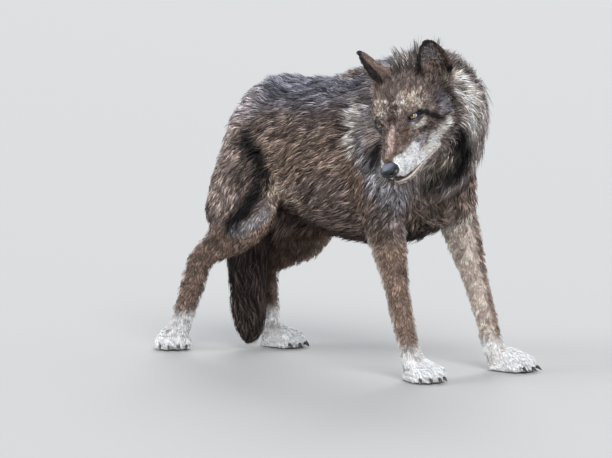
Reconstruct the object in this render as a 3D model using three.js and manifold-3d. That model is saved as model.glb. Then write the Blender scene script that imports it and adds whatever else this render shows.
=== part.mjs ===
// A timber wolf (Canis lupus) in a dark winter coat, on splayed legs with its head turned to the right.
// Units are millimetres. +X points to the wolf's front, +Y to its left, +Z up. The floor is z = 0.
// Every solid is the outside of the coat: a trunk, a neck and limbs lofted through a few oval sections.
import * as THREE from 'three';
import { mergeVertices } from 'three/addons/utils/BufferGeometryUtils.js';
import Module from 'manifold-3d';

const wasm = await Module();
wasm.setup();

// ---------------------------------------------------------------- driving dimensions
const GAP = 0.35;                    // clear gap between two neighbouring solids
const RIGHT = -1;
const LEFT = 1;

const TOPLINE_CROUP = 698;           // top of the coat over the hips
const TOPLINE_WITHERS = 754;         // top of the coat over the shoulders
const BRISKET = 298;                 // lowest fur of the chest
const TUCK_UP = 346;                 // belly fur in front of the thighs
const CHEST_HALF_WIDTH = 137;
const RUMP_X = -362;                 // rearmost fur of the buttocks
const CHEST_X = 326;                 // front of the breast

const EYES = new THREE.Vector3(343, -243, 632);       // midpoint between the eyes
const HEAD_FORWARD = new THREE.Vector3(0.286, -0.820, -0.497).normalize();
const HEAD_LEFT = new THREE.Vector3(0.948, 0.165, 0.273).normalize();
const EYE_SPACING = 90;
const EYE_RADIUS = 11;
const EYE_FORWARD = 5;

const PAW_LENGTH = 115;
const PAW_WIDTH = 90;
const CLAW_LENGTH = 17;

// ---------------------------------------------------------------- solids
const v = (x, y, z) => new THREE.Vector3(x, y, z);

// A closed geometry as a solid. `grow` moves each vertex out along its normal, to cut a neighbour with a gap.
function solidOf(geometry, grow = 0) {
  const bare = geometry.clone();
  bare.deleteAttribute('normal');
  bare.deleteAttribute('uv');
  const merged = mergeVertices(bare, 1e-3);
  merged.computeVertexNormals();
  const { position, normal } = merged.attributes;
  const points = position.array.map((value, i) => value + grow * normal.array[i]);
  return new wasm.Manifold(new wasm.Mesh({
    numProp: 3,
    vertProperties: points,
    triVerts: new Uint32Array(merged.index.array),
  }));
}

function geometryOf(solid) {
  const mesh = solid.getMesh();
  const geometry = new THREE.BufferGeometry();
  geometry.setAttribute('position', new THREE.BufferAttribute(Float32Array.from(mesh.vertProperties), 3));
  geometry.setIndex(new THREE.BufferAttribute(Uint32Array.from(mesh.triVerts), 1));
  geometry.computeVertexNormals();
  return geometry;
}

// The largest body of a cut solid, without any sliver that the cut left.
function largest(solid) {
  return solid.decompose().sort((a, b) => b.volume() - a.volume())[0];
}

const bulge = (value, squareness) => Math.sign(value) * Math.abs(value) ** (2 / squareness);

// A closed form through oval sections. A section is { at, half, up, down }: its centre, its half width along
// `side`, and its reach above and below the centre.
function loft({ sections, side = v(0, 1, 0), around = 20, along = 16, squareness = 2.2 }) {
  const spine = new THREE.CatmullRomCurve3(sections.map((s) => s.at), false, 'catmullrom', 0.5);
  const reaches = sections.map((s) => v(s.half, s.up, s.down));
  const reach = new THREE.CatmullRomCurve3(reaches, false, 'catmullrom', 0.5);
  const tube = new THREE.CylinderGeometry(1, 1, 1, around, along);
  const position = tube.attributes.position;
  for (let i = 0; i < position.count; i++) {
    const t = THREE.MathUtils.clamp(position.getY(i) + 0.5, 0, 1);
    const radial = Math.hypot(position.getX(i), position.getZ(i));
    const angle = Math.atan2(position.getZ(i), position.getX(i));
    const tangent = spine.getTangent(t);
    const across = side.clone().addScaledVector(tangent, -side.dot(tangent)).normalize();
    const upward = tangent.clone().cross(across).normalize();
    const size = reach.getPoint(t);
    const lift = Math.sin(angle) > 0 ? size.y : size.z;
    const point = spine.getPoint(t)
      .addScaledVector(across, radial * size.x * bulge(Math.cos(angle), squareness))
      .addScaledVector(upward, radial * lift * bulge(Math.sin(angle), squareness));
    position.setXYZ(i, point.x, point.y, point.z);
  }
  return solidOf(tube).volume() > 0 ? tube : flipped(tube);
}

function flipped(geometry) {
  const turned = geometry.clone();
  const index = turned.index.array;
  for (let i = 0; i < index.length; i += 3) [index[i + 1], index[i + 2]] = [index[i + 2], index[i + 1]];
  return turned;
}

const section = (at, half, up, down = up) => ({ at, half, up, down });

// ---------------------------------------------------------------- trunk, neck and tail
const trunkSection = (x, top, bottom, half) => section(v(x, 0, (top + bottom) / 2), half, (top - bottom) / 2);
const TRUNK = {
  sections: [
    trunkSection(RUMP_X, 538, 488, 24),
    trunkSection(RUMP_X + 28, 582, 446, 56),
    trunkSection(-296, 636, 416, 82),
    trunkSection(-246, TOPLINE_CROUP, 366, 118),
    trunkSection(-135, 700, TUCK_UP, 112),
    trunkSection(-18, 712, 305, 126),
    trunkSection(90, 736, BRISKET, CHEST_HALF_WIDTH),
    trunkSection(180, TOPLINE_WITHERS, BRISKET + 20, CHEST_HALF_WIDTH),
    trunkSection(252, TOPLINE_WITHERS, 368, 128),
    trunkSection(302, 684, 424, 96),
    trunkSection(CHEST_X, 610, 480, 45),
  ],
  around: 20,
  along: 16,
  squareness: 2.05,
};

const NECK = {
  sections: [
    section(v(96, 6, 560), 60, 150, 140),
    section(v(158, 8, 580), 108, 186, 180),
    section(v(225, 0, 606), 136, 180, 212),
    section(v(286, -42, 632), 141, 160, 205),
    section(v(317, -98, 646), 128, 142, 170),
    section(v(332, -148, 646), 108, 112, 128),
  ],
  side: v(0.75, 0.65, 0),
  around: 18,
  along: 8,
  squareness: 2,
};

const TAIL = {
  sections: [
    section(v(-314, 3, 590), 26, 24),
    section(v(-342, 8, 532), 36, 33),
    section(v(-354, 20, 440), 50, 44),
    section(v(-357, 25, 345), 52, 45),
    section(v(-353, 27, 236), 46, 42),
    section(v(-352, 29, 135), 43, 39),
    section(v(-349, 30, 62), 34, 30),
    section(v(-346, 30, 24), 13, 12),
  ],
  around: 11,
  along: 8,
};

// ---------------------------------------------------------------- head, in its own frame
// The head's frame starts midway between the eyes: x to the nose, y to its left, z to its crown.
const headFrame = new THREE.Group();
headFrame.name = 'head_frame';
const headUp = HEAD_FORWARD.clone().cross(HEAD_LEFT).normalize();
const headLeft = headUp.clone().cross(HEAD_FORWARD).normalize();
headFrame.position.copy(EYES);
headFrame.quaternion.setFromRotationMatrix(new THREE.Matrix4().makeBasis(HEAD_FORWARD, headLeft, headUp));
headFrame.updateMatrixWorld(true);

const headSection = (x, top, bottom, half) => section(v(x, 0, (top + bottom) / 2), half, (top - bottom) / 2);
const SKULL = {
  sections: [
    headSection(-150, 50, -92, 82),
    headSection(-112, 66, -120, 106),
    headSection(-72, 64, -130, 114),
    headSection(-36, 52, -116, 90),
    headSection(-4, 30, -98, 56),
    headSection(24, 7, -92, 47),
    headSection(58, -8, -90, 41),
    headSection(94, -19, -89, 35),
    headSection(122, -28, -87, 29),
    headSection(136, -37, -80, 19),
  ],
  around: 18,
  along: 15,
};
const JAW = {
  sections: [
    headSection(-62, -84, -132, 62),
    headSection(-14, -72, -128, 55),
    headSection(22, -74, -120, 47),
    headSection(63, -76, -112, 38),
    headSection(97, -78, -108, 31),
    headSection(118, -80, -103, 22),
    headSection(128, -83, -95, 10),
  ],
  around: 10,
  along: 6,
};
const NOSE = {
  sections: [
    headSection(124, -36, -62, 12),
    headSection(135, -33, -68, 18),
    headSection(146, -35, -70, 19),
    headSection(153, -41, -64, 12),
  ],
  around: 12,
  along: 5,
};

// An ear is a pointed cup. Both face forwards and outwards; the left one leans out further.
const EARS = {
  left: { base: v(-112, 80, 23), tip: v(-118, 99, 117), facing: v(0.8, 0.6, 0) },
  right: { base: v(-112, -60, 52), tip: v(-122, -80, 136), facing: v(0.42, -0.9, 0) },
};
const EAR_STEPS = [[-0.3, 32, 22], [0, 45, 23], [0.3, 42, 20], [0.62, 34, 15], [0.86, 20, 9], [1, 6, 5]];
const EAR_WALL = 7;

function earLoft({ base, tip, facing }, thinner = 0) {
  const steps = thinner ? EAR_STEPS.slice(1, -1) : EAR_STEPS;
  return {
    sections: steps.map(([t, half, deep]) => section(
      base.clone().lerp(tip, t).addScaledVector(facing, 2 * thinner),
      half - thinner * 0.9,
      deep - thinner * 0.6,
    )),
    side: facing.clone().cross(v(0, 0, 1)),
    around: 10,
    along: 5,
  };
}

// ---------------------------------------------------------------- limbs
const LIMBS = {
  front_right: {
    front: true, toe: v(325, -119, 0), yaw: -22,
    shoulder: v(184, -106, 540), elbow: v(203, -122, 385), wrist: v(267, -128, 145), fetlock: v(296, -122, 36),
  },
  front_left: {
    front: true, toe: v(385, 158, 0), yaw: 12,
    shoulder: v(200, 110, 540), elbow: v(238, 113, 385), wrist: v(312, 131, 145), fetlock: v(338, 144, 36),
  },
  hind_right: {
    front: false, toe: v(-502, -90, 0), yaw: -45,
    hip: v(-270, -84, 520), stifle: v(-171, -119, 372), hock: v(-396, -97, 240), fetlock: v(-487, -84, 38),
    ham: 14, calf: 0,
  },
  hind_left: {
    front: false, toe: v(-306, 117, 0), yaw: 4,
    hip: v(-266, 84, 520), stifle: v(-158, 119, 350), hock: v(-352, 100, 208), fetlock: v(-350, 111, 38),
    ham: 58, calf: 24,
  },
};

const mix = (a, b, t) => a.clone().lerp(b, t);

// `ham` and `calf` are the fur hanging behind the thigh and behind the calf, beyond an even leg.
function limbLofts({ front, shoulder, elbow, wrist, hip, stifle, hock, fetlock, ham, calf }) {
  if (front) {
    return {
      upper: {
        sections: [
          section(mix(shoulder, elbow, -0.45), 20, 45),
          section(shoulder, 45, 86),
          section(mix(shoulder, elbow, 0.6), 44, 80),
          section(elbow, 38, 62),
          section(mix(elbow, wrist, 0.14), 32, 47),
        ],
        around: 12,
        along: 6,
      },
      lower: {
        sections: [
          section(mix(elbow, wrist, -0.12), 20, 30),
          section(mix(elbow, wrist, 0.1), 34, 52),
          section(mix(elbow, wrist, 0.45), 31, 42),
          section(mix(elbow, wrist, 0.72), 26, 31),
          section(wrist, 27, 28),
          section(mix(wrist, fetlock, 0.55), 24, 25),
          section(fetlock, 28, 26),
        ],
        around: 11,
        along: 8,
      },
    };
  }
  const shank = mix(stifle, hock, 0.38);
  return {
    upper: {
      sections: [
        section(mix(hip, shank, -0.45), 16, 46, 34),
        section(hip, 44, 96, 64),
        section(mix(hip, shank, 0.5), 53, 118, 98),
        section(mix(hip, shank, 0.85), 46, 100, 96 + ham),
        section(shank, 30, 70, 70 + ham),
      ],
      around: 14,
      along: 8,
    },
    lower: {
      sections: [
        section(mix(stifle, hock, -0.08), 18, 26),
        section(mix(stifle, hock, 0.1), 36, 48, 48 + calf),
        section(mix(stifle, hock, 0.42), 38, 55 + calf / 2, 55 + calf),
        section(mix(stifle, hock, 0.76), 28, 38 + calf / 4, 38),
        section(hock, 26, 35),
        section(mix(hock, fetlock, 0.3), 23, 31, 36),
        section(mix(hock, fetlock, 0.75), 22, 28, 34),
        section(fetlock, 25, 26, 30),
      ],
      around: 11,
      along: 10,
    },
  };
}

// A paw in its own frame: x forward, flat on the floor, with four toes and their claws.
const TOES = [-1, -0.36, 0.36, 1].map((share) => ({
  y: share * PAW_WIDTH * 0.36,
  reach: PAW_LENGTH * (0.46 - 0.15 * share * share),
}));
const pawSection = (x, top, half) => section(v(x, 0, 0), half, top, 20);
const PAW = {
  sections: [
    pawSection(-64, 28, 18),
    pawSection(-52, 48, 32),
    pawSection(-16, 58, 40),
    pawSection(16, 49, 40),
    pawSection(34, 31, 31),
  ],
  around: 12,
  along: 4,
};
const toeLoft = ({ y, reach }) => ({
  sections: [
    section(v(-9, y * 0.8, 18), 11, 20),
    section(v(reach * 0.55, y * 0.95, 16), 16, 25),
    section(v(reach - 9, y, 13), 15, 20),
    section(v(reach, y, 11), 7, 8),
  ],
  around: 7,
  along: 3,
});
const clawLoft = (root, heading, length) => ({
  sections: [
    section(root.clone().addScaledVector(heading, -4), 4.2, 4.5),
    section(root.clone().addScaledVector(heading, length * 0.5), 3.4, 4),
    section(root.clone().addScaledVector(heading, length).add(v(0, 0, -0.32 * length)), 0.8, 0.8),
  ],
  around: 5,
  along: 2,
});

// ---------------------------------------------------------------- materials
const material = (color, roughness) => new THREE.MeshStandardMaterial({ color, roughness, metalness: 0 });
const darkCoat = material(0x3b342f, 0.9);
const greyCoat = material(0x6a615a, 0.9);
const whiteCoat = material(0xd8d2c8, 0.9);
const noseSkin = material(0x141313, 0.35);
const amber = material(0xa8762a, 0.1);
const horn = material(0x1d1a18, 0.5);

// ---------------------------------------------------------------- assembly
const wolf = new THREE.Group();

const floor = solidOf(new THREE.BoxGeometry(4000, 4000, 400).translate(0, 0, -200));
const taken = [];                    // each piece made so far, swollen by the gap

// Joins the shapes, hollows them, cuts away what earlier pieces took, and hangs the result in its frame.
function add(parent, name, shapes, finish, hollows = []) {
  parent.updateMatrixWorld(true);
  const inPlace = (shape) => shape.clone().applyMatrix4(parent.matrixWorld);
  const placed = (list, grow) => list.map((shape) => solidOf(inPlace(shape), grow));
  const join = (solids) => solids.reduce((sum, solid) => sum.add(solid));
  const whole = placed(hollows, 0).reduce((rest, hollow) => rest.subtract(hollow), join(placed(shapes, 0)));
  const cut = taken.reduce((rest, other) => rest.subtract(other), whole).subtract(floor);
  taken.push(join(placed(shapes, GAP)).add(whole));
  const local = largest(cut).transform(parent.matrixWorld.clone().invert().toArray());
  const mesh = new THREE.Mesh(geometryOf(local), finish.clone());
  mesh.name = name;
  parent.add(mesh);
}

wolf.add(headFrame);
add(headFrame, 'nose', [loft(NOSE)], noseSkin);
for (const [name, side] of [['right', RIGHT], ['left', LEFT]]) {
  const eye = new THREE.SphereGeometry(EYE_RADIUS, 12, 7).translate(EYE_FORWARD, side * EYE_SPACING / 2, 0);
  add(headFrame, `eye_${name}`, [eye], amber);
}
add(headFrame, 'head', [loft(SKULL)], greyCoat);
add(headFrame, 'lower_jaw', [loft(JAW)], greyCoat);
for (const [name, ear] of Object.entries(EARS)) {
  add(headFrame, `ear_${name}`, [loft(earLoft(ear))], darkCoat, [loft(earLoft(ear, EAR_WALL))]);
}
add(wolf, 'trunk', [loft(TRUNK)], darkCoat);
add(wolf, 'neck', [loft(NECK)], greyCoat);

for (const [name, limb] of Object.entries(LIMBS)) {
  const { upper, lower } = limbLofts(limb);
  const pawFrame = new THREE.Group();
  pawFrame.name = `${name}_paw_frame`;
  pawFrame.position.copy(limb.toe);
  pawFrame.rotation.z = THREE.MathUtils.degToRad(limb.yaw);
  wolf.add(pawFrame);
  add(wolf, `${name}_upper`, [loft(upper)], darkCoat);
  add(wolf, `${name}_lower`, [loft(lower)], greyCoat);
  add(pawFrame, `${name}_paw`, [loft(PAW), ...TOES.map((toe) => loft(toeLoft(toe)))], whiteCoat);
  TOES.forEach(({ y, reach }, i) => {
    const claw = clawLoft(v(reach - 2, y, 13), v(1, 0.1 * Math.sign(y), -0.12), CLAW_LENGTH);
    add(pawFrame, `${name}_claw_${i + 1}`, [loft(claw)], horn);
  });
}
add(wolf, 'tail', [loft(TAIL)], darkCoat);

// The origin is the middle of the model's footprint, on the floor.
const extent = new THREE.Box3().setFromObject(wolf, true);
const middle = extent.getCenter(v(0, 0, 0));
wolf.position.set(-middle.x, -middle.y, 0);
const model = new THREE.Group();
model.name = 'timber_wolf';
model.add(wolf);

export default model;
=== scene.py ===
"""A timber wolf in a grizzled winter coat: one skin, two eyes, a nose, claws, and a coat of solid tufts."""

import math

import bpy
import numpy as np
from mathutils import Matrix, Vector
from mathutils.bvhtree import BVHTree
from mathutils.kdtree import KDTree


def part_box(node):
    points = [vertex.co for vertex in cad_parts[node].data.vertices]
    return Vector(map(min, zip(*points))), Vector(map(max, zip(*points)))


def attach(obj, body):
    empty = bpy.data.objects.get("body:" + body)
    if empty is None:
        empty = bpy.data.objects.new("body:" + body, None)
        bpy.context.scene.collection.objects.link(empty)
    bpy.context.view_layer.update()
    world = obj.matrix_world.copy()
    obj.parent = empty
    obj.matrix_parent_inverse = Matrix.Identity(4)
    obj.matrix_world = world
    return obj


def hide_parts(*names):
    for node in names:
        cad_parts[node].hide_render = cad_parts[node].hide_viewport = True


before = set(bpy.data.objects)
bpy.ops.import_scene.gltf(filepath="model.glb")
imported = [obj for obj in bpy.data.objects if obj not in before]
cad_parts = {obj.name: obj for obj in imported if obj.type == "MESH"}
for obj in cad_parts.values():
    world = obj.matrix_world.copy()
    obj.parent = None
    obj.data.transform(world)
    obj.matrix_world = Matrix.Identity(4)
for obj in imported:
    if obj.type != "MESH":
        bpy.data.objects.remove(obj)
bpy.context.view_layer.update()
dice = np.random.default_rng(41)

# ---------------------------------------------------------------- places and directions
MM = 0.001
HEAD_FORWARD = np.array((0.286, -0.820, -0.497))
HEAD_LEFT = np.array((0.948, 0.165, 0.273))
HEAD_FORWARD /= np.linalg.norm(HEAD_FORWARD)
HEAD_UP = np.cross(HEAD_FORWARD, HEAD_LEFT)
HEAD_UP /= np.linalg.norm(HEAD_UP)
HEAD_LEFT = np.cross(HEAD_UP, HEAD_FORWARD)
HEAD_AXES = np.array((HEAD_FORWARD, HEAD_LEFT, HEAD_UP))
EYE_FORWARD = 5 * MM


def middle(node):
    low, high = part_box(node)
    return np.array((low + high) / 2)


EYES = {"left": middle("eye_left"), "right": middle("eye_right")}
SIDES = {"left": 1, "right": -1}
BETWEEN_EYES = (EYES["left"] + EYES["right"]) / 2 - EYE_FORWARD * HEAD_FORWARD
EYES_FROM_TRUNK_ORIGIN = np.array((343, -243, 632)) * MM
TRUNK_ORIGIN = BETWEEN_EYES - EYES_FROM_TRUNK_ORIGIN


def to_head(points):
    """Places in the head's own frame, in millimetres: x to the nose, y to its left, z to its crown."""
    return (points - BETWEEN_EYES) @ HEAD_AXES.T / MM


def from_head(places):
    return np.asarray(places, float) * MM @ HEAD_AXES + BETWEEN_EYES


def to_trunk(points):
    """Places in the trunk's frame, in millimetres: x to the front, y to the left, z up from the floor."""
    return (points - TRUNK_ORIGIN) / MM


def unit(vectors):
    return vectors / np.maximum(np.linalg.norm(vectors, axis=-1, keepdims=True), 1e-9)


def ramp(values, start, end):
    """0 before start, 1 after end, and smooth between them."""
    share = np.clip((values - start) / (end - start), 0, 1)
    return share * share * (3 - 2 * share)


def dome(points, centre, radii):
    """1 at the centre of an ellipsoid, falling smoothly to 0 at its edge."""
    away = np.linalg.norm((points - np.asarray(centre, float)) / np.asarray(radii, float), axis=-1)
    return ramp(away, 1, 0)


def mottle(points, size, seed):
    """A smooth random field from 0 to 1, with patches about size across."""
    grid = points / size
    cell = np.floor(grid)
    share = grid - cell
    share = share * share * (3 - 2 * share)
    total = np.zeros(len(points))
    for corner in np.ndindex(2, 2, 2):
        at = cell + np.array(corner)
        draw = np.sin(at @ np.array((127.1, 311.7, 74.7)) + seed * 19.19) * 43758.5453
        weight = np.prod(np.where(np.array(corner) == 1, share, 1 - share), axis=1)
        total += weight * (draw - np.floor(draw))
    return total


# ---------------------------------------------------------------- the skin's base
EARS = {
    "left": {"base": (-112, 80, 23), "tip": (-118, 99, 117), "facing": (0.8, 0.6, 0)},
    "right": {"base": (-112, -60, 52), "tip": (-122, -80, 136), "facing": (0.42, -0.9, 0)},
}
LEGS = ("front_left", "front_right", "hind_left", "hind_right")
REGIONS = {
    "head": ("head", "nose"),
    "jaw": ("lower_jaw",),
    "ear": ("ear_left", "ear_right"),
    "neck": ("neck",),
    "trunk": ("trunk",),
    "tail": ("tail",),
    "shoulder": ("front_left_upper", "front_right_upper"),
    "thigh": ("hind_left_upper", "hind_right_upper"),
    "foreleg": ("front_left_lower", "front_right_lower"),
    "shank": ("hind_left_lower", "hind_right_lower"),
    "paw": tuple(f"{leg}_paw" for leg in LEGS),
}
NAMES = list(REGIONS)
FLESH = [node for nodes in REGIONS.values() for node in nodes if node != "nose"]
SKIN_VOXEL = 5.72 * MM
GAP_OVERLAP = 0.8 * MM
LONGEST_LOOK = 0.3
# How far the skin lies inside the coat's tips, in millimetres.
COAT_DEPTH = {
    "head": 4.5, "jaw": 5, "ear": 1.5, "neck": 34, "trunk": 20, "tail": 11,
    "shoulder": 17, "thigh": 15, "foreleg": 6, "shank": 7, "paw": 4.5,
}


def only(obj):
    """Selects one object and makes it active."""
    bpy.ops.object.select_all(action="DESELECT")
    obj.select_set(True)
    bpy.context.view_layer.objects.active = obj


def select_in(obj, kind, chosen):
    """Goes into edit mode with only the chosen vertices or faces selected."""
    only(obj)
    bpy.ops.object.mode_set(mode="EDIT")
    bpy.ops.mesh.select_mode(type=kind)
    bpy.ops.mesh.select_all(action="DESELECT")
    bpy.ops.object.mode_set(mode="OBJECT")
    rows = obj.data.vertices if kind == "VERT" else obj.data.polygons
    rows.foreach_set("select", chosen)
    bpy.ops.object.mode_set(mode="EDIT")


def new_piece(name, points, faces):
    mesh = bpy.data.meshes.new(name)
    mesh.from_pydata(np.asarray(points).tolist(), [], faces)
    mesh.update()
    obj = bpy.data.objects.new(name, mesh)
    bpy.context.scene.collection.objects.link(obj)
    return obj


def read(rows, attribute, width, kind=np.float32):
    """One attribute of a mesh's rows, as an array with width columns."""
    flat = np.empty(len(rows) * width, kind)
    rows.foreach_get(attribute, flat)
    return flat.reshape(-1, width)


def points_of(mesh):
    return read(mesh.vertices, "co", 3).astype(float)


def normals_of(mesh):
    return read(mesh.vertex_normals, "vector", 3).astype(float)


def edges_of(mesh):
    return read(mesh.edges, "vertices", 2, np.int32)


def triangles_of(mesh):
    mesh.calc_loop_triangles()
    return read(mesh.loop_triangles, "vertices", 3, np.int32)


def put_points(mesh, points):
    mesh.vertices.foreach_set("co", np.asarray(points, np.float32).ravel())
    mesh.update()


def spread(edges, values, times, hold=0.5):
    """Smooths values over a mesh, each vertex towards the mean of its neighbours."""
    values = values.reshape(len(values), -1).astype(float)
    a, b = edges.T
    count = np.maximum(np.bincount(a, minlength=len(values)) + np.bincount(b, minlength=len(values)), 1)
    for _ in range(times):
        for column in range(values.shape[1]):
            v = values[:, column]
            total = np.bincount(a, v[b], len(v)) + np.bincount(b, v[a], len(v))
            values[:, column] = hold * v + (1 - hold) * total / count
    return values


def flesh_copy():
    """One closed surface round all the nodes of flesh, each ear filled to a solid leaf."""
    copies = []
    for node in FLESH:
        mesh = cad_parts[node].data.copy()
        copy = bpy.data.objects.new(f"{node}_copy", mesh)
        bpy.context.scene.collection.objects.link(copy)
        only(copy)
        bpy.ops.object.mode_set(mode="EDIT")
        bpy.ops.mesh.select_all(action="SELECT")
        bpy.ops.mesh.remove_doubles(threshold=1e-6)
        if node in REGIONS["ear"]:
            bpy.ops.mesh.convex_hull()
        bpy.ops.mesh.select_all(action="SELECT")
        bpy.ops.mesh.normals_make_consistent(inside=False)
        bpy.ops.transform.shrink_fatten(value=GAP_OVERLAP)
        bpy.ops.object.mode_set(mode="OBJECT")
        copies.append(copy)
    bpy.ops.object.select_all(action="DESELECT")
    for copy in copies:
        copy.select_set(True)
    bpy.context.view_layer.objects.active = copies[0]
    bpy.ops.object.join()
    skin = bpy.context.view_layer.objects.active
    skin.name = skin.data.name = "skin"
    remesh = skin.modifiers.new("one_surface", "REMESH")
    remesh.mode = "VOXEL"
    remesh.voxel_size = SKIN_VOXEL
    bpy.ops.object.modifier_apply(modifier=remesh.name)
    skin.data.materials.clear()
    return skin


def keep_largest(obj):
    """Drops every part of a mesh but the one with the most vertices."""
    mesh = obj.data
    edges = edges_of(mesh)
    label = np.arange(len(mesh.vertices))
    while True:
        low = np.minimum(label[edges[:, 0]], label[edges[:, 1]])
        before = label.copy()
        np.minimum.at(label, edges[:, 0], low)
        np.minimum.at(label, edges[:, 1], low)
        label = label[label]
        if (label == before).all():
            break
    main = np.bincount(label).argmax()
    if (label == main).all():
        return
    select_in(obj, "VERT", label != main)
    bpy.ops.mesh.delete(type="VERT")
    bpy.ops.object.mode_set(mode="OBJECT")


def node_tree():
    """One search tree over the solids' faces, and the region of each face."""
    points, faces, owners = [], [], []
    for region, nodes in REGIONS.items():
        for node in nodes:
            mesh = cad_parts[node].data
            start = sum(len(p) for p in points)
            points.append(points_of(mesh))
            triangles = triangles_of(mesh) + start
            faces.append(triangles)
            owners += [NAMES.index(region)] * len(triangles)
    points = np.concatenate(points)
    faces = np.concatenate(faces)
    return BVHTree.FromPolygons(points.tolist(), faces.tolist()), owners


def thickness(points, normals, tree):
    """How far each point can see inwards before it meets the far side."""
    found = np.full(len(points), LONGEST_LOOK)
    for i, (point, normal) in enumerate(zip(points, normals)):
        inward = Vector(-normal)
        hit = tree.ray_cast(Vector(point) + inward * 0.5 * MM, inward)
        if hit[3] is not None:
            found[i] = hit[3]
    return found


skin = flesh_copy()
keep_largest(skin)
outer = points_of(skin.data)
links = edges_of(skin.data)
solids_tree, owners = node_tree()
weights = np.zeros((len(outer), len(NAMES)))
for i, point in enumerate(outer):
    weights[i, owners[solids_tree.find_nearest(point)[2]]] = 1
weights = spread(links, weights, 8)

outward = normals_of(skin.data)
outer_tree = BVHTree.FromPolygons(outer.tolist(), triangles_of(skin.data).tolist())
room = thickness(outer, outward, outer_tree)
depth = weights @ np.array([COAT_DEPTH[name] for name in NAMES]) * MM
head_places = to_head(outer)
head_share = weights[:, NAMES.index("head")] + weights[:, NAMES.index("jaw")]
behind_face = ramp(head_places[:, 0], -20, -95)
depth += head_share * behind_face * 20 * MM
depth = np.minimum(depth, 0.34 * room)
depth = np.minimum(spread(links, depth, 12)[:, 0], 0.42 * room)
inner = outer - spread(links, outward, 6) * depth[:, None]
rough = spread(links, 1 - head_share - weights[:, NAMES.index("paw")], 4)
rough = np.clip(rough, 0.25, 1)
for _ in range(36):
    for step in (0.55, -0.57):
        inner += step * rough * (spread(links, inner, 1, hold=0) - inner)
put_points(skin.data, inner)
first_places = KDTree(len(inner))
for i, point in enumerate(inner):
    first_places.insert(point, i)
first_places.balance()


# ---------------------------------------------------------------- a finer face
EYE_CENTRES = {side: np.array((2.4, 44 * sign, -0.6)) for side, sign in SIDES.items()}
BALL = 12.0
LID_RADIUS = 13.9
LIDS_WIDE = 14.0
LIDS_UP = 5.2
LIDS_DOWN = 5.4
MOUTH_LINE = ((134, 4, -82), (118, 18, -87), (92, 35, -95), (60, 43, -99), (25, 48, -106), (-4, 53, -110))
LOWER_LIP_LINE = ((130, 4, -91), *((x - 2, y + 1, z - 8) for x, y, z in MOUTH_LINE[1:]))
# Each ear's share of its height, with its half width and depth there.
EAR_PROFILE = ((-0.3, 32, 22), (0, 45, 23), (0.3, 42, 20), (0.62, 34, 15), (0.86, 20, 9), (1, 6, 5))

# The face's raised and sunken forms, in the head's frame: centre, radii and height.
FACE_FORMS = (
    ((-8, 36, 24), (26, 24, 18), 5),  # brow
    ((-30, 66, -16), (34, 22, 26), 4),  # cheekbone
    ((36, 34, -34), (30, 16, 22), -4.5),  # hollow before the cheek
    ((20, 26, -2), (12, 10, 12), -3),  # inner corner of the eye
    ((94, 25, -62), (30, 16, 22), 3.5),  # whisker pad
    ((-24, 0, 44), (46, 11, 30), -3.5),  # furrow of the forehead
    ((84, 0, -18), (46, 5, 12), -1.2),  # line along the muzzle
)


def refine(obj, near):
    """Divides each face whose centre, in the head's frame, is near."""
    select_in(obj, "FACE", near(to_head(read(obj.data.polygons, "center", 3).astype(float))))
    bpy.ops.mesh.subdivide(number_cuts=1)
    bpy.ops.object.mode_set(mode="OBJECT")
    mesh = obj.data
    points = points_of(mesh)
    links = edges_of(mesh)
    local = near(to_head(points)).astype(float)[:, None]
    for _ in range(4):
        for step in (0.5, -0.52):
            points += step * local * (spread(links, points, 1, hold=0) - points)
    put_points(mesh, points)


def mirrored(places):
    """The same places with both sides of the head laid on its left."""
    return places * np.where(places[:, 1:2] < 0, (1, -1, 1), (1, 1, 1))


def stroke(places, path, width, core=0.0):
    """1 along a line through the path's points, falling from core * width to 0 at width from it."""
    path = np.array(path, float)
    best = np.full(len(places), 1e9)
    for start, end in zip(path[:-1], path[1:]):
        along = end - start
        share = np.clip((places - start) @ along / (along @ along), 0, 1)
        best = np.minimum(best, np.linalg.norm(places - start - share[:, None] * along, axis=1))
    return ramp(best, width, core * width)


def on_face(places):
    ears = (places[:, 2] > 32) & (places[:, 0] > -148) & (np.abs(places[:, 1]) < 120)
    return ears | ((places[:, 0] > -42) & (places[:, 2] > -122) & (np.abs(places[:, 1]) < 84))


def near_mouth(places):
    return stroke(mirrored(places), MOUTH, 10) > 0


def round_eyes(radius):
    """A test for places within this radius of either eye's centre."""
    def inside(places):
        left, right = (np.linalg.norm(places - centre, axis=1) for centre in EYE_CENTRES.values())
        return np.minimum(left, right) < radius
    return inside


def eye_axes(side):
    """An eye's directions: to its outer corner, up along the lids, and out of the head."""
    sign = SIDES[side]
    out = unit(np.array((0.88, 0.40 * sign, 0.26)))
    across = np.array((-0.35, 0.936 * sign, 0.02))
    across = unit(across - out * (across @ out))
    return across, np.cross(out, across) * sign, out


def eye_places(places, side):
    """Places from an eye's centre, along the eye's own directions."""
    return (places - EYE_CENTRES[side]) @ np.array(eye_axes(side)).T


def ear_axes(ear):
    """An ear's base and height, and its directions: up to the tip, the way it faces, and across it."""
    base, tip = np.array(ear["base"], float), np.array(ear["tip"], float)
    up = tip - base
    height = np.linalg.norm(up)
    up /= height
    facing = np.array(ear["facing"], float)
    facing = unit(facing - up * (facing @ up))
    return base, height, up, facing, np.cross(up, facing)


def ear_profile(t):
    """An ear's half width and depth at each share t of its height."""
    steps = np.array(EAR_PROFILE)
    return np.interp(t, steps[:, 0], steps[:, 1]), np.interp(t, steps[:, 0], steps[:, 2])


def lid_edge(across):
    """How far up and down the opening between the lids reaches, from its inner to its outer corner."""
    share = np.clip(np.abs(across) / LIDS_WIDE, 0, 1)
    sink = 1.6 * ramp(-across, 2, LIDS_WIDE)
    return LIDS_UP * (1 - share**2.3) - sink, -LIDS_DOWN * (1 - share**1.9) - sink


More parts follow.
